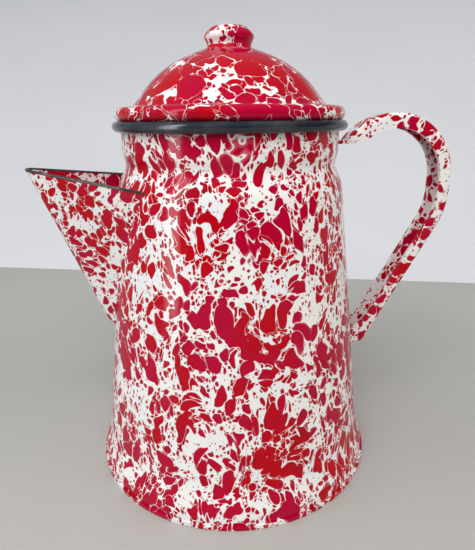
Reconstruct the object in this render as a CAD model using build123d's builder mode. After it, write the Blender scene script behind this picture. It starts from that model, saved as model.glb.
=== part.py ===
"""Enamelled steel coffee percolator: conical pot, V-shaped spout, channel strap handle, lift-off
domed lid, and the loose brewing set of pump, basket and spreader that stands inside.

Millimetres. +Z is up, the origin is the centre of the foot on the table, the spout points to -X and
the handle to +X. Each formed piece of sheet is a part of its own.
"""

import os
from math import cos, degrees, radians, sin, sqrt, tan
from typing import NamedTuple

from build123d import *

# ---- driving dimensions --------------------------------------------------------------------------
SHEET = 1.0  # enamelled sheet of the pot
FOOT_R = 70.6  # outside of the seam round the foot
SEAM_H = 2.2  # height of that seam
FLARE_R, FLARE_Z = 69.7, 3.2  # wall where it leaves the seam
CONE_LOW_R, CONE_LOW_Z = 66.0, 19.0  # bottom of the straight cone
CONE_TOP_R, CONE_TOP_Z = 52.5, 135.5  # top of the straight cone
SHOULDER_R, SHOULDER_Z = 51.3, 141.8  # turn from the cone into the groove
GROOVE_R, GROOVE_Z = 48.35, 149.0  # rolled stiffening groove under the neck
NECK_R, NECK_Z = 49.4, 155.5  # straight neck above the groove
WALL_TOP = 165.4  # raw edge of the wall, inside the rim roll
ROLL_R, ROLL_SECTION = 50.75, 2.25  # rim roll: centre circle and section radius
FLOOR = 3.9  # inside floor of the pot

REST = 0.05  # gap left where a loose piece sits on the one below
LID_BEAD_R, LID_BEAD = 48.6, 3.1  # rolled edge of the lid: centre circle and section radius
COLLAR_R, COLLAR_LOW = 46.6, 159.5  # locating collar under the lid
KNOB_SEAT_R, KNOB_SEAT_Z = 9.8, 197.7

HANDLE_W, HANDLE_SHEET = 12.0, 1.1
HANDLE_LIP = 0.7  # how far each edge of the channel is turned in

THIN = 0.8  # sheet of the brewing set
TUBE_R, TUBE_LOW, TUBE_TOP = 4.0, 10.9, 186.0
BELL_R = 30.0  # bell foot of the pump
BASKET_R, BASKET_LOW, BASKET_TOP = 38.0, 111.0, 156.5
SLEEVE_BORE, SLEEVE_TOP = 4.3, 151.0

os.makedirs("parts", exist_ok=True)


def save(part, name):
    """Label a finished piece and write it as its own STEP file."""
    part.label = name
    export_step(part, f"parts/{name}.step")
    print(f"{name:16s} {len(part.solids())} solid(s) {part.volume:10.1f} mm3")


# ---- pot: wall, foot, rim ------------------------------------------------------------------------
def wall_line(shift):
    """Draws the wall's profile from seam to rim, moved in towards the axis by shift."""
    low = (FLARE_R - shift, FLARE_Z)
    cone_low = (CONE_LOW_R - shift, CONE_LOW_Z)
    cone_top = (CONE_TOP_R - shift, CONE_TOP_Z)
    groove = (GROOVE_R - shift, GROOVE_Z)
    neck = (NECK_R - shift, NECK_Z)
    slope = (CONE_TOP_R - CONE_LOW_R, CONE_TOP_Z - CONE_LOW_Z)
    Line((FLARE_R - shift, SEAM_H / 2), low)
    Spline(low, cone_low, tangents=[(0, 1), slope])
    Line(cone_low, cone_top)
    Spline(cone_top, (SHOULDER_R - shift, SHOULDER_Z), groove, neck, tangents=[slope, (0, 1)])
    Line(neck, (NECK_R - shift, WALL_TOP))


def pot_envelope():
    """Solid body of the pot's outside, for trimming what is welded to the wall."""
    with BuildPart(mode=Mode.PRIVATE) as envelope:
        with BuildSketch(Plane.XZ):
            with BuildLine():
                wall_line(0)
                Polyline(
                    (NECK_R, WALL_TOP), (0, WALL_TOP), (0, SEAM_H / 2), (FLARE_R, SEAM_H / 2)
                )
            make_face()
        revolve(axis=Axis.Z)
    return envelope.part


def wall_radius(z):
    """Outside radius of the straight cone at height z."""
    return CONE_LOW_R + (CONE_TOP_R - CONE_LOW_R) * (z - CONE_LOW_Z) / (CONE_TOP_Z - CONE_LOW_Z)


STRAINER_HOLE = 1.3
STRAINER_PITCH = 6.0
STRAINER_LOW, STRAINER_ROWS = 88.0, 8


def strainer_places():
    """(height, angle) of each strainer hole: staggered rows that widen upwards with the spout."""
    places = []
    for row in range(STRAINER_ROWS):
        z = STRAINER_LOW + row * STRAINER_PITCH
        step = degrees(STRAINER_PITCH / wall_radius(z))
        for i in range(row + 1):
            places.append((z, (i - row / 2) * step))
    return places


with BuildPart() as body_wall:
    with BuildSketch(Plane.XZ):
        with BuildLine():
            wall_line(0)
            wall_line(SHEET)
            Line((FLARE_R, SEAM_H / 2), (FLARE_R - SHEET, SEAM_H / 2))
            Line((NECK_R, WALL_TOP), (NECK_R - SHEET, WALL_TOP))
        make_face()
    revolve(axis=Axis.Z)
    for height, angle in strainer_places():
        turned = Plane(
            origin=(0, 0, height),
            x_dir=(sin(radians(angle)), cos(radians(angle)), 0),
            z_dir=(-cos(radians(angle)), sin(radians(angle)), 0),
        )
        with BuildSketch(turned):
            Circle(STRAINER_HOLE)
        extrude(amount=FOOT_R, mode=Mode.SUBTRACT)
save(body_wall.part, "body_wall")

# the base plate is a shallow pan whose edge is folded round the foot of the wall
HEM = 0.9
PAN_R = 64.0  # flat inside of the pan
PAN_RUN = 2.5  # how far the pan's sloping side runs out
FOOT_ROUND = 0.4
with BuildPart() as base_plate:
    with BuildSketch(Plane.XZ):
        with BuildLine():
            Polyline(
                (0, FLOOR),
                (PAN_R, FLOOR),
                (PAN_R + PAN_RUN, SEAM_H),
                (FLARE_R - SHEET, SEAM_H),
                (FLARE_R - SHEET, SEAM_H / 2),
                (FLARE_R, SEAM_H / 2),
                (FLARE_R, SEAM_H),
                (FOOT_R, SEAM_H),
                (FOOT_R, 0),
                (PAN_R - HEM + PAN_RUN, 0),
                (PAN_R - HEM, FLOOR - HEM),
                (0, FLOOR - HEM),
                close=True,
            )
        make_face()
    revolve(axis=Axis.Z)
    foot_edges = base_plate.edges().filter_by(GeomType.CIRCLE).group_by(Axis.Z)[0]
    fillet(foot_edges.sort_by(SortBy.RADIUS)[-1], FOOT_ROUND)
save(base_plate.part, "base_plate")

with BuildPart() as rim_roll:
    with BuildSketch(Plane.XZ):
        with Locations((ROLL_R, WALL_TOP)):
            Circle(ROLL_SECTION)
            Circle(ROLL_SECTION - SHEET, mode=Mode.SUBTRACT)
        with Locations((NECK_R, WALL_TOP)):  # the wall comes up into the open side of the roll
            Rectangle(ROLL_R, ROLL_R, align=(Align.MAX, Align.MAX), mode=Mode.SUBTRACT)
    revolve(axis=Axis.Z)
save(rim_roll.part, "rim_roll")

# ---- spout ---------------------------------------------------------------------------------------
SPOUT_HALF_ANGLE = 31.0  # half the angle between the two flat sides, seen from above
SPOUT_LIP = (91.7, 148.0)  # pouring lip
SPOUT_LIP_SLOPE = 0.147  # fall of the open top from the lip to the pot
NOSE_SLOPE = 0.396  # how fast the nose runs in towards the pot, going down
SPOUT_LOW, SPOUT_HIGH = 75.6, 152.0  # closed lower end, and a section drawn above the lip
NOSE_R_LOW, NOSE_R_HIGH = 13.3, 6.0  # nose radius at those two heights
SPOUT_ROOT = 25.0  # the sides are drawn this far into the pot, then trimmed


def nose_radius(z):
    """Radius of the spout's nose at height z."""
    rise = (z - SPOUT_LOW) / (SPOUT_HIGH - SPOUT_LOW)
    return NOSE_R_LOW + (NOSE_R_HIGH - NOSE_R_LOW) * rise


def spout_section(z, inset):
    """Rounded V at height z, inset from the outside by a sheet's thickness."""
    lip_x, lip_z = SPOUT_LIP
    nose = lip_x - NOSE_SLOPE * (lip_z - z)
    nose_r = nose_radius(z)
    centre = -(nose - nose_r)
    radius = nose_r - inset
    a = radians(SPOUT_HALF_ANGLE)
    touch_x, touch_y = centre - radius * sin(a), radius * cos(a)
    root_y = touch_y + (-SPOUT_ROOT - touch_x) * tan(a)
    with BuildSketch(Plane.XY.offset(z)) as section:
        with BuildLine():
            ThreePointArc((touch_x, touch_y), (centre - radius, 0), (touch_x, -touch_y))
            Polyline(
                (touch_x, -touch_y),
                (-SPOUT_ROOT, -root_y),
                (-SPOUT_ROOT, root_y),
                (touch_x, touch_y),
            )
        make_face()
    return section.sketch


with BuildPart() as spout:
    loft([spout_section(SPOUT_LOW, 0), spout_section(SPOUT_HIGH, 0)])
    fillet(spout.faces().sort_by(Axis.Z)[0].edges(), SHEET)
    loft(
        [spout_section(SPOUT_LOW + SHEET, SHEET), spout_section(SPOUT_HIGH, SHEET)],
        mode=Mode.SUBTRACT,
    )
    lip = Plane(
        origin=(-SPOUT_LIP[0], 0, SPOUT_LIP[1]),
        x_dir=(0, 1, 0),
        z_dir=(SPOUT_LIP_SLOPE, 0, 1),
    )
    split(bisect_by=lip, keep=Keep.BOTTOM)
    add(pot_envelope(), mode=Mode.SUBTRACT)
save(spout.part, "spout")

# ---- handle --------------------------------------------------------------------------------------


class StrapSide(NamedTuple):
    """One long side of the strap: arc over the crest, straight grip, bend, sloping leg and toe."""

    centre: tuple
    crest_r: float
    start: float  # degrees, where the crest arc leaves the root
    grip: float
    bend_r: float
    bend: float
    leg: float
    toe_r: float
    toe: float


BACK = StrapSide((80.8, 139.1), 31.7, 143, 6.6, 38.0, 30, 68.6, 7.5, 60)
FINGER = StrapSide((80.8, 139.1), 24.5, 118, 6.6, 30.8, 30, 55.5, 22.0, 25)
ROOT_TOP, ROOT_LOW = 158.1, 156.6  # the strap is pressed flat where it meets the neck
ROOT_END = 57.5  # where that flat ends and the finger side starts to rise
INSIDE_NECK, INSIDE_WALL = 44.0, 55.0  # where the ends stop, inside the pot, before the trim
TOE_RUN = 20  # straight end of the finger side, through the wall
BACK_ROUND = 2.8  # outside rounding of the channel's two long edges


def strap_side(side, inset):
    """Draws one side of the strap, moved in by inset. Returns its first point and last arc."""
    crest = CenterArc(side.centre, side.crest_r - inset, side.start, -side.start)
    grip = Line(crest @ 1, crest @ 1 - Vector(0, side.grip))
    bend = JernArc(grip @ 1, (0, -1), side.bend_r - inset, -side.bend)
    leg = Line(bend @ 1, bend @ 1 + (bend % 1) * side.leg)
    toe = JernArc(leg @ 1, leg % 1, side.toe_r - inset, -side.toe)
    return crest @ 0, toe


def strap_bar(back_in, finger_in, half_width, corner):
    """The strap as a solid bar with a rounded back. An inset of 0 adds the flattened root."""
    with BuildPart(mode=Mode.PRIVATE) as bar:
        with BuildSketch(Plane.XZ):
            with BuildLine():
                high, toe = strap_side(BACK, back_in)
                low, palm_toe = strap_side(FINGER, -finger_in)
                if back_in == 0:
                    rise = radians(FINGER.start - 90)
                    Polyline(
                        high, (INSIDE_NECK, ROOT_TOP), (INSIDE_NECK, ROOT_LOW), (ROOT_END, ROOT_LOW)
                    )
                    Spline((ROOT_END, ROOT_LOW), low, tangents=[(1, 0), (cos(rise), sin(rise))])
                else:
                    Line(high, low)
                inner_end = palm_toe @ 1 + (palm_toe % 1) * TOE_RUN
                Polyline(toe @ 1, (INSIDE_WALL, (toe @ 1).Y), inner_end, palm_toe @ 1)
            make_face()
        extrude(amount=half_width, both=True)
        with BuildLine(mode=Mode.PRIVATE) as back_line:
            strap_side(BACK, back_in)
        middles = [(edge @ 0.5) for edge in back_line.edges()]
        corners = [
            edge
            for edge in bar.edges()
            for middle in middles
            if abs((edge @ 0.5) - Vector(middle.X, (edge @ 0.5).Y, middle.Y)) < 0.01
            and abs(abs((edge @ 0.5).Y) - half_width) < 0.01
        ]
        fillet(corners, corner)
    return bar.part


with BuildPart() as handle:
    hollow_half = HANDLE_W / 2 - HANDLE_SHEET
    slot_in, slot_round = 3.0, 0.2  # the slot between the turned-in edges, cut out past the back
    add(strap_bar(0, 0, HANDLE_W / 2, BACK_ROUND))
    add(
        strap_bar(HANDLE_SHEET, HANDLE_SHEET, hollow_half, BACK_ROUND - HANDLE_SHEET),
        mode=Mode.SUBTRACT,
    )
    add(
        strap_bar(slot_in, -slot_in, hollow_half - HANDLE_LIP, slot_round),
        mode=Mode.SUBTRACT,
    )
    add(pot_envelope(), mode=Mode.SUBTRACT)
save(handle.part, "handle")

# ---- lid -----------------------------------------------------------------------------------------
BEAD_REACH = ROLL_SECTION + LID_BEAD + REST
LID_BEAD_Z = WALL_TOP + sqrt(BEAD_REACH**2 - (ROLL_R - LID_BEAD_R) ** 2)  # bead on the rim roll
BEAD_GAP = 1.2  # where the edge of the sheet has come round inside the bead
VENT_R = 1.5  # hole under the knob, which lets the enamel dry inside it
DOME = (
    # radius, height, steepness in degrees, from the crease at the bead up to the knob seat
    (43.2, 174.1, 48),
    (36.0, 182.8, 43),
    (20.9, 193.5, 28),
    (KNOB_SEAT_R, KNOB_SEAT_Z, 20),
)


def dome_line(depth):
    """Draws the dome's profile from crease to knob seat, at a depth below its outside."""
    first, last = radians(DOME[0][2]), radians(DOME[-1][2])
    return Spline(
        [(r - depth * sin(radians(t)), z - depth * cos(radians(t))) for r, z, t in DOME],
        tangents=[(-cos(first), sin(first)), (-cos(last), sin(last))],
    )


def crown(r):
    """Height of the shallow crown under the knob at radius r."""
    return KNOB_SEAT_Z + (KNOB_SEAT_R - r) / (KNOB_SEAT_R - VENT_R)


with BuildPart() as lid_dome:
    with BuildSketch(Plane.XZ):
        with BuildLine():
            outside = dome_line(0)
            inside = dome_line(SHEET)
            Polyline(
                outside @ 1, (VENT_R, crown(VENT_R)), (VENT_R, crown(VENT_R) - SHEET), inside @ 1
            )
            Polyline(  # out into the top of the bead
                inside @ 0,
                (LID_BEAD_R - 2.1, LID_BEAD_Z + 1.2),
                (LID_BEAD_R - 1.6, LID_BEAD_Z + 2.5),
                outside @ 0,
            )
        make_face()
        with Locations((LID_BEAD_R, LID_BEAD_Z)):
            Circle(LID_BEAD)
            Circle(LID_BEAD - SHEET, mode=Mode.SUBTRACT)
        with Locations((LID_BEAD_R - LID_BEAD, LID_BEAD_Z - BEAD_GAP / 2)):
            Rectangle(2.5 * SHEET, BEAD_GAP, mode=Mode.SUBTRACT)
    revolve(axis=Axis.Z)
save(lid_dome.part, "lid_dome")

with BuildPart() as lid_collar:
    with BuildSketch(Plane.XZ):
        with Locations((COLLAR_R, COLLAR_LOW)):
            Rectangle(THIN, LID_BEAD_Z - COLLAR_LOW, align=(Align.MAX, Align.MIN))
        with Locations((LID_BEAD_R, LID_BEAD_Z)):
            Circle(LID_BEAD, mode=Mode.SUBTRACT)
    revolve(axis=Axis.Z)
save(lid_collar.part, "lid_collar")

# the knob is a formed cup welded over the vent
KNOB_FOOT_R, KNOB_R, KNOB_TOP = 9.7, 10.9, 206.2
KNOB_WAIST_Z, KNOB_WIDE_Z, KNOB_CREST_Z = 199.2, 202.2, 205.0


def knob_line(depth):
    """Draws the knob's profile from its foot to its centre, at a depth below its outside."""
    foot = KNOB_FOOT_R - depth
    return Spline(
        (foot, crown(foot)),
        (foot + 0.1, KNOB_WAIST_Z + 0.2 * depth),
        (KNOB_R - depth, KNOB_WIDE_Z),
        (KNOB_R - 2.1 - 0.6 * depth, KNOB_CREST_Z - 0.8 * depth),
        (0, KNOB_TOP - depth),
        tangents=[(0, 1), (-1, 0)],
    )


with BuildPart() as knob:
    with BuildSketch(Plane.XZ):
        with BuildLine():
            cup = knob_line(0)
            hollow = knob_line(SHEET)
            Line(cup @ 0, hollow @ 0)
            Line(cup @ 1, hollow @ 1)
        make_face()
    revolve(axis=Axis.Z)
save(knob.part, "knob")

# ---- pump ----------------------------------------------------------------------------------------
TUBE_SHEET = 0.6
with BuildPart() as pump_tube:
    with BuildSketch(Plane.XY.offset(TUBE_LOW)):
        Circle(TUBE_R)
        Circle(TUBE_R - TUBE_SHEET, mode=Mode.SUBTRACT)
    extrude(amount=TUBE_TOP - TUBE_LOW)
save(pump_tube.part, "pump_tube")

SKIRT_TOP, THROAT_TOP = 8.5, 24.0  # top of the bell's skirt, and of its throat on the tube
WAIST_R, WAIST_Z = 17.0, 14.2  # halfway up the trumpet
NOTCHES, NOTCH_W, NOTCH_H = 6, 6.0, 2.4  # water inlets in the skirt


def bell_line(shift):
    """Draws the trumpet profile of the pump foot, from skirt to tube, moved in by shift."""
    skirt = (BELL_R - shift, SKIRT_TOP - shift)
    Line((BELL_R - shift, FLOOR + REST), skirt)
    Spline(
        skirt,
        (WAIST_R - shift / 2, WAIST_Z - shift),
        (TUBE_R + THIN - shift, THROAT_TOP),
        tangents=[(-0.8, 0.6), (0, 1)],
    )


with BuildPart() as pump_bell:
    with BuildSketch(Plane.XZ):
        with BuildLine():
            bell_line(0)
            bell_line(THIN)
            Line((BELL_R, FLOOR + REST), (BELL_R - THIN, FLOOR + REST))
            Line((TUBE_R + THIN, THROAT_TOP), (TUBE_R, THROAT_TOP))
        make_face()
    revolve(axis=Axis.Z)
    with BuildSketch(Plane.XY):
        with PolarLocations(BELL_R, NOTCHES):
            Rectangle(NOTCH_W, NOTCH_W)
    extrude(amount=FLOOR + NOTCH_H, mode=Mode.SUBTRACT)
save(pump_bell.part, "pump_bell")

PLATE_LOW = 6.4
SEAT_R, DISC_R = 4.0, 8.0  # hole in the plate, and the loose disc that covers it
GUIDES, GUIDE_GAP, GUIDE_H = 3, 0.6, 2.6  # tabs that keep the disc over the hole
GUIDE_SHEET, GUIDE_W = 1.0, 3.0
with BuildPart() as valve_plate:
    with BuildSketch(Plane.XY.offset(PLATE_LOW)):
        Circle(BELL_R - THIN)
        Circle(SEAT_R, mode=Mode.SUBTRACT)
    extrude(amount=THIN)
    with BuildSketch(Plane.XY.offset(PLATE_LOW + THIN)):
        with PolarLocations(DISC_R + GUIDE_GAP + GUIDE_SHEET / 2, GUIDES):
            Rectangle(GUIDE_SHEET, GUIDE_W)
    extrude(amount=GUIDE_H)
save(valve_plate.part, "valve_plate")

with BuildPart() as valve_disc:
    with BuildSketch(Plane.XY.offset(PLATE_LOW + THIN + REST)):
        Circle(DISC_R)
    extrude(amount=THIN)
save(valve_disc.part, "valve_disc")

STOP_R, STOP_H, STOP_EDGE = 7.0, 3.0, 0.5
with BuildPart() as tube_stop:
    with BuildSketch(Plane.XY.offset(BASKET_LOW - REST)):
        Circle(STOP_R)
        Circle(TUBE_R, mode=Mode.SUBTRACT)
    extrude(amount=-STOP_H)
    chamfer(tube_stop.edges().filter_by(GeomType.CIRCLE).sort_by(SortBy.RADIUS)[-2:], STOP_EDGE)
save(tube_stop.part, "tube_stop")

# ---- basket and spreader -------------------------------------------------------------------------
SLEEVE_R = SLEEVE_BORE + THIN
RIM_FLANGE = 1.2
BASKET_CORNER = 5.0  # slope between the basket's bottom and its side
CORNER_SHIFT = 0.4  # how far that slope moves in on the inside of the sheet
FIRST_RING, RING_PITCH = 9.5, 5.2  # rings of drip holes: radius of the first, and their spacing
FIRST_HOLES, MORE_HOLES = 10, 6  # holes in the first ring, and how many more in each next one
BASKET_RINGS, BASKET_HOLE = 5, 1.1
SPREADER_RINGS, SPREADER_HOLE = 6, 1.0


def drip_holes(rings, hole_r):
    """Draws rings of round holes into a BuildSketch."""
    for ring in range(rings):
        with PolarLocations(FIRST_RING + ring * RING_PITCH, FIRST_HOLES + ring * MORE_HOLES):
            Circle(hole_r)


with BuildPart() as basket_cup:
    with BuildSketch(Plane.XZ):
        with BuildLine():
            Polyline(
                (SLEEVE_R, BASKET_LOW),
                (BASKET_R - BASKET_CORNER, BASKET_LOW),
                (BASKET_R, BASKET_LOW + BASKET_CORNER),
                (BASKET_R, BASKET_TOP - THIN),
                (BASKET_R + RIM_FLANGE, BASKET_TOP - THIN),
                (BASKET_R + RIM_FLANGE, BASKET_TOP),
                (BASKET_R - THIN, BASKET_TOP),
                (BASKET_R - THIN, BASKET_LOW + BASKET_CORNER + CORNER_SHIFT),
                (BASKET_R - BASKET_CORNER - CORNER_SHIFT, BASKET_LOW + THIN),
                (SLEEVE_R, BASKET_LOW + THIN),
                close=True,
            )
        make_face()
    revolve(axis=Axis.Z)
    with BuildSketch(Plane.XY.offset(BASKET_LOW)):
        drip_holes(BASKET_RINGS, BASKET_HOLE)
    extrude(amount=THIN, mode=Mode.SUBTRACT)
save(basket_cup.part, "basket_cup")

with BuildPart() as basket_sleeve:
    with BuildSketch(Plane.XY.offset(BASKET_LOW)):
        Circle(SLEEVE_R)
        Circle(SLEEVE_BORE, mode=Mode.SUBTRACT)
    extrude(amount=SLEEVE_TOP - BASKET_LOW)
save(basket_sleeve.part, "basket_sleeve")

SPREADER_LOW = BASKET_TOP + REST
SKIRT_R = BASKET_R + RIM_FLANGE + 0.4  # inside of the spreader's skirt, clear of the flange
SKIRT_H, GUIDE_TOP = 3.0, 4.0  # skirt below the sheet, and neck above it that slides on the tube
with BuildPart() as spreader:
    with BuildSketch(Plane.XZ):
        with BuildLine():
            Polyline(
                (SLEEVE_BORE, SPREADER_LOW),
                (SKIRT_R, SPREADER_LOW),
                (SKIRT_R, SPREADER_LOW - SKIRT_H),
                (SKIRT_R + THIN, SPREADER_LOW - SKIRT_H),
                (SKIRT_R + THIN, SPREADER_LOW + THIN),
                (SLEEVE_R, SPREADER_LOW + THIN),
                (SLEEVE_R, SPREADER_LOW + GUIDE_TOP),
                (SLEEVE_BORE, SPREADER_LOW + GUIDE_TOP),
                close=True,
            )
        make_face()
    revolve(axis=Axis.Z)
    with BuildSketch(Plane.XY.offset(SPREADER_LOW)):
        drip_holes(SPREADER_RINGS, SPREADER_HOLE)
    extrude(amount=THIN, mode=Mode.SUBTRACT)
save(spreader.part, "spreader")
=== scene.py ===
"""The looks of the enamelled coffee percolator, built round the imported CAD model.

Metres, in the CAD's frame: +Z up, origin at the centre of the foot, spout to -X and handle to +X.
The CAD nodes keep their shapes. This file gives them their enamel and metal, adds the beads of enamel that
fill the welded seams, and sets up the floor, the lights and the camera.
"""

from bisect import bisect
from math import cos, hypot, pi, radians, sin

import bmesh
import bpy
from mathutils import Matrix, Vector


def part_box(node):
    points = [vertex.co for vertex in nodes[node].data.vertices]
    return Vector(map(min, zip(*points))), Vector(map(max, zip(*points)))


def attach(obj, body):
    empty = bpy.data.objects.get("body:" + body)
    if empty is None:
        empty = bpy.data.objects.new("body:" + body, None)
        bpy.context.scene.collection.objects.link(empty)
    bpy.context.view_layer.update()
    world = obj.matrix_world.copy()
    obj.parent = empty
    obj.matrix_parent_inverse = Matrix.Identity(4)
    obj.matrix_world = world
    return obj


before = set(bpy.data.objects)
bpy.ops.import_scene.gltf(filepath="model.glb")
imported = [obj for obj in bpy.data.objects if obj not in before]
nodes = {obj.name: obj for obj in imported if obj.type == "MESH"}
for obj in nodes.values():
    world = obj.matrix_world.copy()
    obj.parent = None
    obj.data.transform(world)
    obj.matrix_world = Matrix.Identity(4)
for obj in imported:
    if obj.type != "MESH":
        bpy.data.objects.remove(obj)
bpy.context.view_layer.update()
scene = bpy.context.scene
MM = 0.001
UP = Vector((0, 0, 1))


# ---- shader graphs -------------------------------------------------------------------------------------
class Graph:
    """A material's node tree with short calls, so that a pattern reads as a few lines of arithmetic."""

    def __init__(self, name):
        self.material = bpy.data.materials.new(name)
        self.material.use_nodes = True
        self.tree = self.material.node_tree
        self.tree.nodes.clear()
        output = self.add("ShaderNodeOutputMaterial")
        self.shader = self.add("ShaderNodeBsdfPrincipled")
        self.tree.links.new(self.shader.outputs[0], output.inputs[0])

    def add(self, kind, **settings):
        node = self.tree.nodes.new(kind)
        for key, value in settings.items():
            setattr(node, key, value)
        return node

    def put(self, socket, value):
        """Links value to the socket if it is a socket, else sets it."""
        if isinstance(value, bpy.types.NodeSocket):
            self.tree.links.new(value, socket)
        elif value is not None:
            socket.default_value = value

    def math(self, operation, a, b=None, c=None):
        node = self.add("ShaderNodeMath", operation=operation)
        for socket, value in zip(node.inputs, (a, b, c)):
            self.put(socket, value)
        return node.outputs[0]

    def vector(self, operation, a, b=None, scale=None):
        node = self.add("ShaderNodeVectorMath", operation=operation)
        self.put(node.inputs[0], a)
        self.put(node.inputs[1], b)
        if scale is not None:
            self.put(node.inputs["Scale"], scale)
        return node.outputs[0]

    def smooth(self, value, low, high, to_low=0.0, to_high=1.0):
        """Smooth step of value from low..high to to_low..to_high."""
        node = self.add("ShaderNodeMapRange", interpolation_type="SMOOTHSTEP")
        for name, number in zip(
            ("Value", "From Min", "From Max", "To Min", "To Max"), (value, low, high, to_low, to_high)
        ):
            self.put(node.inputs[name], number)
        return node.outputs[0]

    def noise(self, point, scale, detail, roughness=0.5):
        """Noise texture: (value, colour) at scale features per metre."""
        node = self.add("ShaderNodeTexNoise")
        self.put(node.inputs["Vector"], point)
        self.put(node.inputs["Scale"], scale)
        self.put(node.inputs["Detail"], detail)
        self.put(node.inputs["Roughness"], roughness)
        return node.outputs["Fac"], node.outputs["Color"]

    def mix(self, factor, a, b):
        """Colour a where factor is 0, and b where it is 1."""
        node = self.add("ShaderNodeMix", data_type="RGBA")
        self.put(node.inputs["Factor"], factor)
        self.put(node.inputs[6], a)
        self.put(node.inputs[7], b)
        return node.outputs[2]

    def bump(self, height, distance, strength):
        """Normal of a surface whose height of 0..1 stands for the distance in metres."""
        node = self.add("ShaderNodeBump")
        self.put(node.inputs["Height"], height)
        self.put(node.inputs["Distance"], distance)
        self.put(node.inputs["Strength"], strength)
        return node.outputs[0]

    def set(self, **values):
        """Sets or links the shader's inputs by name, with _ for a space."""
        for name, value in values.items():
            self.put(self.shader.inputs[name.replace("_", " ")], value)

    def place(self, offset=(0, 0, 0), turn=(0, 0, 0), stretch=(1, 1, 1)):
        """The point on the surface in metres, moved, turned in degrees and stretched."""
        coordinates = self.add("ShaderNodeTexCoord")
        mapping = self.add("ShaderNodeMapping")
        self.put(mapping.inputs["Vector"], coordinates.outputs["Object"])
        self.put(mapping.inputs["Location"], offset)
        self.put(mapping.inputs["Rotation"], tuple(radians(angle) for angle in turn))
        self.put(mapping.inputs["Scale"], stretch)
        return mapping.outputs[0]


WHITE, WHITE_COOL = (0.83, 0.81, 0.785, 1), (0.78, 0.79, 0.795, 1)
CRIMSON = (0.43, 0.001, 0.030, 1)
SCARLET = (0.46, 0.001, 0.008, 1)
OXBLOOD = (0.19, 0.001, 0.013, 1)
PINK = (0.70, 0.22, 0.26, 1)  # thin red over white
PINHOLE = (0.10, 0.10, 0.11, 1)
BLACK_BLUE, RUBBED, RIM_FLECK = (0.012, 0.016, 0.026, 1), (0.05, 0.055, 0.065, 1), (0.16, 0.16, 0.16, 1)
EDGE_BROWN, EDGE_GREY, EDGE_FLECK = (0.026, 0.021, 0.022, 1), (0.115, 0.095, 0.09, 1), (0.30, 0.27, 0.26, 1)
COFFEE = (0.20, 0.11, 0.05, 1)
ALUMINIUM, STEEL = (0.78, 0.78, 0.79, 1), (0.55, 0.55, 0.56, 1)
ROUNDING = 0.55 * MM  # corners of drops that touch others
GAP = 0.32 * MM  # white line left between drops that touch
APART, MERGED = 5.0, -1.0  # what drops() makes of neighbours: a vein between them, or one pool


def darker(colour, factor):
    """A colour with its red, green and blue scaled."""
    return tuple(factor * part for part in colour[:3]) + (1,)


def swirl(g, point, size, reach):
    """Drags a pattern about by up to reach, in eddies of about size, both in metres."""
    _, colour = g.noise(point, 1 / size, detail=1.0)
    shift = g.vector("SUBTRACT", colour, (0.5, 0.5, 0.5))
    return g.vector("ADD", point, g.vector("SCALE", shift, scale=2 * reach))


def drops(g, point, size, small, large, wetness=0.0, apart=None):
    """Distance in metres inside the edge of one layer of drops, negative outside.

    Drops are size apart, with radii from small to large of that spacing, and wetness is added to each.
    Where drops meet, apart at MERGED runs them together with rounded necks, and at APART it leaves a white
    line between them that opens into a pocket where three meet. Without it they are cut off straight.
    """
    cells = g.add("ShaderNodeTexVoronoi", feature="F1")
    g.put(cells.inputs["Vector"], point)
    g.put(cells.inputs["Scale"], 1 / size)
    distance, colour = cells.outputs["Distance"], cells.outputs["Color"]
    if apart is not None:
        blended = g.add("ShaderNodeTexVoronoi", feature="SMOOTH_F1")
        g.put(blended.inputs["Vector"], point)
        g.put(blended.inputs["Scale"], 1 / size)
        g.put(blended.inputs["Smoothness"], 0.5)
        crowding = g.math("SUBTRACT", distance, blended.outputs["Distance"])
        distance = g.math("MULTIPLY_ADD", crowding, apart, distance)
        colour = blended.outputs["Color"]
    chance = g.add("ShaderNodeSeparateColor")
    g.put(chance.inputs[0], colour)
    radius = g.math("ADD", g.math("MULTIPLY_ADD", chance.outputs[0], large - small, small), wetness)
    return g.math("MULTIPLY", g.math("SUBTRACT", radius, distance), size)


def between(g, larger, smaller):
    """Adds smaller drops in the gaps of larger ones, at least GAP away from them."""
    room = g.math("SUBTRACT", g.math("MULTIPLY", larger, -1.0), GAP)
    clipped = g.math("SMOOTH_MIN", smaller, room, ROUNDING)
    return g.math("MAXIMUM", larger, clipped)


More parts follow.
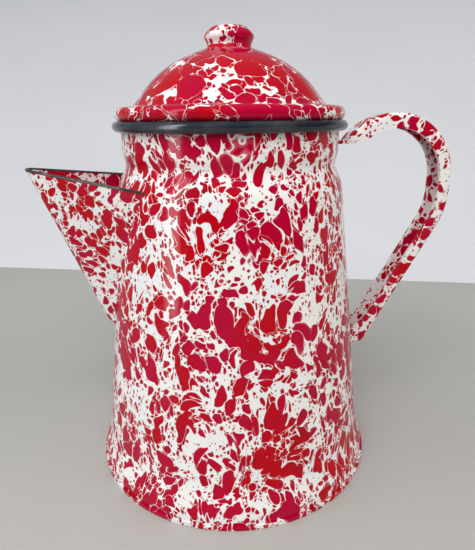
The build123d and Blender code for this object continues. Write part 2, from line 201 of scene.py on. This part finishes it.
def splatter_enamel(
    name, wet, spacing, joined=0.5, offset=(0, 0, 0), turn=(0, 0, 0), stretch=(1, 1, 1), flow=1.0
):
    """White enamel with red drops that have run together, and thin white veins between them.

    wet adds to the size of the drops, spacing is that of the largest in metres, joined is the share of the
    places where neighbouring drops have merged instead of leaving a vein, and flow scales how far the enamel
    has run.
    """
    g = Graph(name)
    point = g.place(offset, turn, stretch)

    # the enamel has run, is wetter in some places than in others, and has merged here and parted there
    dragged = swirl(g, swirl(g, point, 20 * MM, 7.5 * MM * flow), 7 * MM, 3 * MM * flow)
    damp, _ = g.noise(point, 55, detail=1.0)
    wetness = g.math("ADD", g.smooth(damp, 0.3, 0.7, -0.16, 0.16), wet)
    meet, _ = g.noise(dragged, 110, detail=0.0)
    split_at = 0.3 + 0.4 * joined
    apart = g.smooth(meet, split_at - 0.05, split_at + 0.05, MERGED, APART)

    # four layers of drops, the smaller ones in the gaps of the larger
    ragged = swirl(g, dragged, 2.4 * MM, 0.6 * MM)
    pools = drops(g, ragged, spacing, 0.15, 0.76, wetness, apart)
    medium = drops(g, swirl(g, dragged, 3 * MM, 0.9 * MM), spacing * 0.55, 0.0, 0.72, wetness, apart)
    small = drops(g, swirl(g, point, 3.5 * MM, 1.1 * MM), spacing * 0.3, -0.25, 0.62, wetness)
    specks = drops(g, swirl(g, point, 3 * MM, 0.6 * MM), spacing * 0.16, -1.1, 0.42)
    field = between(g, between(g, between(g, pools, medium), small), specks)
    red = g.smooth(field, -0.12 * MM, 0.08 * MM)
    depth = g.smooth(field, 0.0, 0.9 * MM)

    # two reds that darken in places and turn pink where they are thin, on a white with pinholes
    tone, _ = g.noise(point, 45, detail=2.0)
    fade, _ = g.noise(dragged, 90, detail=3.0)
    reds = g.mix(g.smooth(tone, 0.42, 0.62), CRIMSON, SCARLET)
    reds = g.mix(g.smooth(fade, 0.5, 0.78, 0, 0.4), reds, OXBLOOD)
    thin = g.math("MULTIPLY", g.math("SUBTRACT", 1.0, depth), g.smooth(fade, 0.40, 0.28, 0.0, 0.5))
    reds = g.mix(thin, reds, PINK)
    whites = g.mix(g.smooth(tone, 0.4, 0.7), WHITE, WHITE_COOL)
    pinholes = drops(g, point, 3.4 * MM, -0.5, 0.055)
    whites = g.mix(g.smooth(pinholes, -0.05 * MM, 0.08 * MM), whites, PINHOLE)
    g.set(Base_Color=g.mix(red, whites, reds))

    # the red stands proud of the white, on a glaze that ripples
    ripple, _ = g.noise(point, 160, detail=2.0)
    wear, _ = g.noise(point, 900, detail=3.0)
    relief = g.math("ADD", g.math("MULTIPLY", red, 0.35), g.math("MULTIPLY", ripple, 0.9))
    g.set(
        Roughness=g.smooth(wear, 0.35, 0.75, 0.07, 0.18),
        Normal=g.bump(relief, 0.10 * MM, 0.6),
        IOR=1.36,
        Specular_IOR_Level=0.25,
    )
    return g.material


def dark_enamel():
    """Blue-black enamel of the rim roll, greyer where it has been rubbed."""
    g = Graph("rim_enamel")
    point = g.place()
    rub, _ = g.noise(point, 60, detail=4.0, roughness=0.6)
    fleck, _ = g.noise(point, 1400, detail=2.0)
    base = g.mix(g.smooth(rub, 0.4, 0.75), BLACK_BLUE, RUBBED)
    g.set(
        Base_Color=g.mix(g.smooth(fleck, 0.68, 0.78, 0, 0.5), base, RIM_FLECK),
        Roughness=g.smooth(rub, 0.35, 0.7, 0.14, 0.3),
        Normal=g.bump(rub, 0.15 * MM, 0.5),
        IOR=1.5,
    )
    return g.material


def raw_edge():
    """Dark brown enamel that has drawn back from a raw edge, greyer in patches, with pale flecks."""
    g = Graph("edge_enamel")
    point = g.place()
    patch, _ = g.noise(point, 260, detail=4.0, roughness=0.6)
    fleck, _ = g.noise(point, 1500, detail=2.0)
    base = g.mix(g.smooth(patch, 0.38, 0.7), EDGE_BROWN, EDGE_GREY)
    g.set(
        Base_Color=g.mix(g.smooth(fleck, 0.62, 0.75, 0, 0.4), base, EDGE_FLECK),
        Roughness=g.smooth(patch, 0.3, 0.7, 0.28, 0.5),
        Normal=g.bump(patch, 0.2 * MM, 0.6),
        IOR=1.45,
    )
    return g.material


def spun_metal(name, colour, stain):
    """Sheet metal spun on a lathe: fine rings round the axis, and a brown film of coffee."""
    g = Graph(name)
    point = g.place()
    flat = g.vector("MULTIPLY", point, (1, 1, 0))
    radius = g.add("ShaderNodeVectorMath", operation="LENGTH")
    g.put(radius.inputs[0], flat)
    along = g.add("ShaderNodeCombineXYZ")
    parts = g.add("ShaderNodeSeparateXYZ")
    g.put(parts.inputs[0], point)
    g.put(along.inputs[0], radius.outputs["Value"])
    g.put(along.inputs[2], parts.outputs[2])
    rings, _ = g.noise(along.outputs[0], 1500, detail=3.0, roughness=0.7)
    film, _ = g.noise(point, 40, detail=4.0, roughness=0.6)
    scuff, _ = g.noise(point, 500, detail=2.0)
    metal = g.mix(g.smooth(rings, 0.3, 0.7, 0, 0.35), colour, darker(colour, 0.6))
    g.set(
        Base_Color=g.mix(g.smooth(film, 0.5, 0.75, 0, stain), metal, COFFEE),
        Metallic=1.0,
        Roughness=g.smooth(g.math("ADD", g.math("MULTIPLY", scuff, 0.5), film), 0.5, 1.1, 0.24, 0.5),
        Normal=g.bump(rings, 0.05 * MM, 0.5),
    )
    return g.material


def dress(node, material):
    """Gives a CAD node a material."""
    slots = nodes[node].data.materials
    slots.clear()
    slots.append(material)


body_enamel = splatter_enamel("body_enamel", wet=0.05, spacing=0.0055, turn=(8, 6, 0), stretch=(1, 1, 0.8))
lid_enamel = splatter_enamel("lid_enamel", wet=0.21, spacing=0.0105, joined=0.25, offset=(0.3, 0.1, 0.2))
spout_enamel = splatter_enamel("spout_enamel", wet=-0.02, spacing=0.0052, offset=(0.7, 0.2, 0.4), flow=0.7)
handle_enamel = splatter_enamel("handle_enamel", wet=-0.05, spacing=0.0065, offset=(0.15, 0.6, 0.9), flow=0.8)
knob_enamel = splatter_enamel(
    "knob_enamel", wet=0.2, spacing=0.0085, joined=0.4, offset=(0.45, 0.3, 0.55), flow=0.8
)
edge_enamel = raw_edge()
aluminium = spun_metal("aluminium", ALUMINIUM, stain=0.45)
disc_steel = spun_metal("disc_steel", STEEL, stain=0.6)

FINISHES = {
    body_enamel: ("body_wall", "base_plate"),
    lid_enamel: ("lid_dome", "lid_collar"),
    spout_enamel: ("spout",),
    handle_enamel: ("handle",),
    knob_enamel: ("knob",),
    dark_enamel(): ("rim_roll",),
    aluminium: (
        "pump_tube", "pump_bell", "valve_plate", "tube_stop", "basket_cup", "basket_sleeve", "spreader",
    ),
    disc_steel: ("valve_disc",),
}
for finish, names in FINISHES.items():
    for name in names:
        dress(name, finish)


# ---- beads of enamel along the welded seams and the spout's raw edge ------------------------------------
SPOUT_WELD, HANDLE_WELD, KNOB_WELD = 1.8 * MM, 1.1 * MM, 1.6 * MM  # radius of each concave corner
ARC_STEPS = 6
BURIED = 0.3 * MM  # how far the hidden corner of a bead lies inside the sheets
SUNK = 0.02 * MM  # how far its two edges lie under their surfaces
STEP = 0.4 * MM  # least distance between two sections of a bead
LIP_BEAD, LIP_SIDES = 0.66 * MM, 12  # radius and number of sides of the bead on the spout's edge
LIP_FLOOR = 0.12  # the lip's raw edge is all above this height, and the spout's floor below it
HALF_SHEET = 0.5 * MM  # from the outside of the spout's sheet to its middle
SAME_POINT = 0.001 * MM  # vertices nearer than this are one
ON_SURFACE = 0.05 * MM  # how near to the wall's outline a face lies that touches the wall
AT_FOOT = 0.1 * MM  # how near to the knob's lowest point the edge lies that stands on the dome
LOOKS_OUT, LOOKS_IN = 0.3, -0.5  # limits of a face's normal along the direction away from the axis
LOOKS_UP = 0.9  # least height of the normal of a face that lies level


def merged(node):
    """A copy of a CAD node's mesh, with the vertices joined that its sharp edges keep apart."""
    mesh = bmesh.new()
    mesh.from_mesh(nodes[node].data)
    bmesh.ops.remove_doubles(mesh, verts=mesh.verts, dist=SAME_POINT)
    mesh.normal_update()
    return mesh


def outward(point):
    """Level direction from the pot's axis to a point."""
    return Vector((point.x, point.y, 0)).normalized()


def outline(node):
    """(height, radius) of the outside of a round node, from the bottom up."""
    mesh = merged(node)
    radii = {}
    for face in mesh.faces:
        if face.normal.dot(outward(face.calc_center_median())) > LOOKS_OUT:
            for vertex in face.verts:
                height = round(vertex.co.z, 6)
                radii[height] = max(radii.get(height, 0), hypot(vertex.co.x, vertex.co.y))
    mesh.free()
    return sorted(radii.items())


def radius_and_slope(profile, height):
    """Radius of an outline at a height, and how fast it grows with height."""
    above = min(max(bisect(profile, (height, 0)), 1), len(profile) - 1)
    (low, low_r), (high, high_r) = profile[above - 1], profile[above]
    slope = (high_r - low_r) / (high - low)
    return low_r + slope * (height - low), slope


def normal_of(profile, point):
    """Normal of the round surface with this outline, at a point on it."""
    side = outward(point)
    _, slope = radius_and_slope(profile, point.z)
    return Vector((side.x, side.y, -slope)).normalized()


WALL, DOME = outline("body_wall"), outline("lid_dome")
KNOB_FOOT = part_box("knob")[0][2]


def is_on_wall(face):
    """Whether a face of a welded piece lies against the wall."""
    if face.normal.dot(outward(face.calc_center_median())) > LOOKS_IN:
        return False
    return all(
        abs(hypot(v.co.x, v.co.y) - radius_and_slope(WALL, v.co.z)[0]) < ON_SURFACE for v in face.verts
    )


def is_lip(face):
    """Whether a face of the spout is the raw edge of its sheet, round the open top."""
    return face.normal.z > LOOKS_UP and face.calc_center_median().z > LIP_FLOOR


def is_foot(face):
    """Whether a face of the knob is the edge that stands on the dome."""
    return face.normal.z < -LOOKS_UP and face.calc_center_median().z < KNOB_FOOT + AT_FOOT


def closed_loops(edges):
    """Lists of (edge, first vertex), in order round each closed loop of edges."""
    left = set(edges)
    meeting = {}
    for edge in edges:
        for vertex in edge.verts:
            meeting.setdefault(vertex, []).append(edge)
    loops = []
    while left:
        edge = min(left, key=lambda candidate: candidate.index)
        vertex = edge.verts[0]
        loop = []
        while edge:
            left.discard(edge)
            loop.append((edge, vertex))
            vertex = edge.other_vert(vertex)
            edge = next((candidate for candidate in meeting[vertex] if candidate in left), None)
        loops.append(loop)
    return loops


def stretches(flags):
    """(start, length) of each run of true flags on a ring of them."""
    count = len(flags)
    if all(flags):
        return [(0, count)]
    starts = [i for i, flag in enumerate(flags) if flag and not flags[i - 1]]
    return [(i, next(n for n in range(count) if not flags[(i + n) % count])) for i in starts]


def border(loop, beyond, start, length):
    """Points along part of a loop of edges, each with the normal of the faces beyond it."""
    line = []
    normal = Vector()
    for i in range(start, start + length):
        edge, vertex = loop[i % len(loop)]
        line.append((vertex.co.copy(), (normal + beyond[edge].normal).normalized()))
        normal = beyond[edge].normal
    line.append((edge.other_vert(vertex).co.copy(), normal.copy()))
    if length == len(loop):
        line[0] = line[-1] = (line[0][0], (line[0][1] + normal).normalized())
    return thinned(line)


def borders(node, is_inner):
    """The outer edges round a node's picked faces, as lines of (point, normal of the faces beyond)."""
    mesh = merged(node)
    beyond = {}
    for edge in mesh.edges:
        rest = [face for face in edge.link_faces if not is_inner(face)]
        if len(rest) == 1:
            beyond[edge] = rest[0]
    lines = []
    for loop in closed_loops(beyond):
        centre = sum((vertex.co for _, vertex in loop), Vector()) / len(loop)
        is_outer = [
            beyond[edge].normal.dot(vertex.co - centre) > 0 and not is_on_wall(beyond[edge])
            for edge, vertex in loop
        ]
        lines += [border(loop, beyond, start, length) for start, length in stretches(is_outer)]
    mesh.free()
    return lines


def thinned(line):
    """Leaves out points less than STEP from the one before."""
    kept = [line[0]]
    for point, normal in line[1:-1]:
        if (point - kept[-1][0]).length > STEP:
            kept.append((point, normal))
    return kept + [line[-1]]


def skin(name, rings, hard, finish, body):
    """A closed piece through rings of points. hard lists the points that make sharp lines."""
    mesh = bmesh.new()
    grid = [[mesh.verts.new(point) for point in ring] for ring in rings]
    for near, far in zip(grid, grid[1:]):
        for i, corner in enumerate(near):
            j = (i + 1) % len(near)
            mesh.faces.new((corner, near[j], far[j], far[i])).smooth = True
        for i in hard:
            mesh.edges.get((near[i], far[i])).smooth = False
    if (rings[0][0] - rings[-1][0]).length < SAME_POINT:
        bmesh.ops.remove_doubles(mesh, verts=mesh.verts, dist=SAME_POINT)
    else:
        mesh.faces.new(grid[0])
        mesh.faces.new(grid[-1])
    bmesh.ops.recalc_face_normals(mesh, faces=mesh.faces)
    data = bpy.data.meshes.new(name)
    mesh.to_mesh(data)
    mesh.free()
    data.materials.append(finish)
    piece = bpy.data.objects.new(name, data)
    scene.collection.objects.link(piece)
    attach(piece, body)


def corner_arc(point, one_side, other_side, radius):
    """Concave section that fills the corner at point between two surfaces with these normals."""
    centre = point + (one_side + other_side) * radius / (1 + one_side.dot(other_side))
    turn = one_side.rotation_difference(other_side)
    arc = [point - (one_side + other_side) * BURIED]
    for i in range(ARC_STEPS + 1):
        spoke = Matrix.Rotation(turn.angle * i / ARC_STEPS, 3, turn.axis) @ one_side
        arc.append(centre - spoke * (radius + SUNK))
    return arc


def weld(node, is_joint, profile, radius, finish, body):
    """Fills the corner round the outside of a piece where it is welded to a round one."""
    for i, line in enumerate(borders(node, is_joint)):
        rings = [corner_arc(point, normal_of(profile, point), side, radius) for point, side in line]
        skin(f"{node}_weld_{i}", rings, (1, ARC_STEPS + 1), finish, body)


def lip_bead(finish):
    """Thickened dark enamel on the raw edge round the spout's open top."""
    angles = [2 * pi * corner / LIP_SIDES for corner in range(LIP_SIDES)]
    for i, line in enumerate(borders("spout", is_lip)):
        rings = []
        for point, side in line:
            level = Vector((side.x, side.y, 0)).normalized()
            middle = point - level * HALF_SHEET - UP * LIP_BEAD / 3
            rings.append([middle + LIP_BEAD * (cos(a) * level + sin(a) * UP) for a in angles])
        skin(f"lip_bead_{i}", rings, (), finish, "pot")


weld("spout", is_on_wall, WALL, SPOUT_WELD, body_enamel, "pot")
weld("handle", is_on_wall, WALL, HANDLE_WELD, body_enamel, "pot")
weld("knob", is_foot, DOME, KNOB_WELD, lid_enamel, "lid")
lip_bead(edge_enamel)


# ---- floor, lights and camera --------------------------------------------------------------------------
def stage_material(name, colour, grain):
    """Matt paint with faint clouds, and darker specks as strong as grain."""
    g = Graph(name)
    point = g.place()
    speckle, _ = g.noise(point, 700, detail=3.0)
    cloud, _ = g.noise(point, 6, detail=3.0)
    pale = g.mix(g.smooth(cloud, 0.3, 0.7, 0, 0.25), colour, darker(colour, 0.86))
    g.set(
        Base_Color=g.mix(g.smooth(speckle, 0.55, 0.75, 0, grain), pale, darker(colour, 0.7)),
        Roughness=g.smooth(cloud, 0.3, 0.7, 0.45, 0.6),
        Normal=g.bump(speckle, 0.1 * MM, 0.3),
    )
    return g.material


def sheet(name, corners, material):
    """A flat piece of the surroundings."""
    mesh = bpy.data.meshes.new(name)
    mesh.from_pydata(corners, [], [tuple(range(len(corners)))])
    mesh.materials.append(material)
    sheet_object = bpy.data.objects.new(name, mesh)
    scene.collection.objects.link(sheet_object)


REACH = 3  # how far the floor and the backdrop go
WALL_BACK, WALL_TURN = 0.29, radians(-17.4)  # the sloping backdrop: distance and heading of its foot
WALL_RISE = radians(40)  # low enough that cameras behind the pot look over it
floor_paint = stage_material("floor_paint", (0.45, 0.445, 0.42, 1), 0.12)
wall_paint = stage_material("wall_paint", (0.69, 0.695, 0.725, 1), 0.03)
floor_corners = [(-REACH, -REACH, 0), (REACH, -REACH, 0), (REACH, REACH, 0), (-REACH, REACH, 0)]
sheet("floor", floor_corners, floor_paint)
along = Vector((cos(WALL_TURN), sin(WALL_TURN), 0)) * REACH
back = Vector((-sin(WALL_TURN), cos(WALL_TURN), 0))
wall_foot = Vector((0, WALL_BACK, 0))
wall_top = wall_foot + REACH * (cos(WALL_RISE) * back + sin(WALL_RISE) * UP)
sheet("backdrop", [wall_foot - along, wall_foot + along, wall_top + along, wall_top - along], wall_paint)


def area_light(name, place, target, size, power, colour=(1, 1, 1), lights=True, mirrored=True):
    """A soft box of power watts. It may light matt surfaces, show in glossy ones, or both."""
    data = bpy.data.lights.new(name, "AREA")
    data.shape = "RECTANGLE"
    data.size, data.size_y = size
    data.energy = power
    data.color = colour
    light = bpy.data.objects.new(name, data)
    scene.collection.objects.link(light)
    light.location = place
    aim = Vector(target) - Vector(place)
    light.rotation_euler = aim.to_track_quat("-Z", "Y").to_euler()
    light.visible_camera = False
    light.visible_diffuse = lights
    light.visible_glossy = mirrored


AIM = (0, 0, 0.1)  # the middle of the pot
area_light("panel", (-0.25, -0.75, 1.0), AIM, (1.2, 0.8), 12.9, mirrored=False)
area_light("side", (-1.6, -0.2, 0.9), AIM, (1.2, 1.2), 10.0, (0.94, 0.97, 1), mirrored=False)
area_light("fill", (1.3, -0.7, 0.8), AIM, (1.2, 1.2), 8.8, (1, 0.95, 0.88), mirrored=False)
# the window is seen only as the soft upright reflection on the left of the pot
area_light("window", (-0.38, -0.20, 0.31), (0, 0, 0.31), (0.1, 0.6), 1.6, lights=False)


BRIGHT_FROM = Vector((-0.62, 0.42, 0.66)).normalized()
DARK_SIDE, BRIGHT_SIDE = 0.04, 0.42  # strength of the surroundings away from there, and there


def studio_world():
    """Soft surroundings, brightest behind to the upper left, and dark in front and below."""
    world = bpy.data.worlds.new("studio")
    world.use_nodes = True
    tree = world.node_tree
    background = tree.nodes["Background"]
    coordinates = tree.nodes.new("ShaderNodeTexCoord")
    facing = tree.nodes.new("ShaderNodeVectorMath")
    facing.operation = "DOT_PRODUCT"
    facing.inputs[1].default_value = BRIGHT_FROM
    ramp = tree.nodes.new("ShaderNodeMapRange")
    ramp.interpolation_type = "SMOOTHSTEP"
    for socket, value in zip(ramp.inputs[1:5], (-0.5, 0.9, DARK_SIDE, BRIGHT_SIDE)):
        socket.default_value = value
    tree.links.new(coordinates.outputs["Generated"], facing.inputs[0])
    tree.links.new(facing.outputs["Value"], ramp.inputs[0])
    tree.links.new(ramp.outputs[0], background.inputs["Strength"])
    background.inputs["Color"].default_value = (0.93, 0.96, 1.0, 1)
    scene.world = world


studio_world()
scene.view_settings.view_transform = "Standard"

FRAME_HIGH, FOCAL = 36, 30.8553  # height of the camera's frame and its focal length, in millimetres
CAMERA_BACK, CAMERA_UP = 0.228, 0.1685  # distance from the pot's axis, and height
CAMERA_SIDE = radians(9.0)  # how far round from square-on the camera stands, towards the spout
PITCH, YAW, ROLL = 0.3208, 0.0123, -0.0087  # radians down, towards the handle, and round the line of sight


def photo_camera():
    """Stands where the photograph was taken."""
    data = bpy.data.cameras.new("camera")
    data.sensor_width = FRAME_HIGH  # Blender measures the longer side by it
    data.lens = FOCAL
    camera = bpy.data.objects.new("camera", data)
    scene.collection.objects.link(camera)
    heading = YAW + CAMERA_SIDE
    forward = Vector((sin(heading) * cos(PITCH), cos(heading) * cos(PITCH), -sin(PITCH)))
    level = Vector((cos(heading), -sin(heading), 0))
    rise = level.cross(forward)
    right = cos(ROLL) * level + sin(ROLL) * rise
    up = -sin(ROLL) * level + cos(ROLL) * rise
    turn = Matrix((right, up, -forward)).transposed().to_4x4()
    place = Vector((-sin(CAMERA_SIDE) * CAMERA_BACK, -cos(CAMERA_SIDE) * CAMERA_BACK, CAMERA_UP))
    camera.matrix_world = Matrix.Translation(place) @ turn
    data.clip_start = 0.01
    scene.camera = camera


photo_camera()
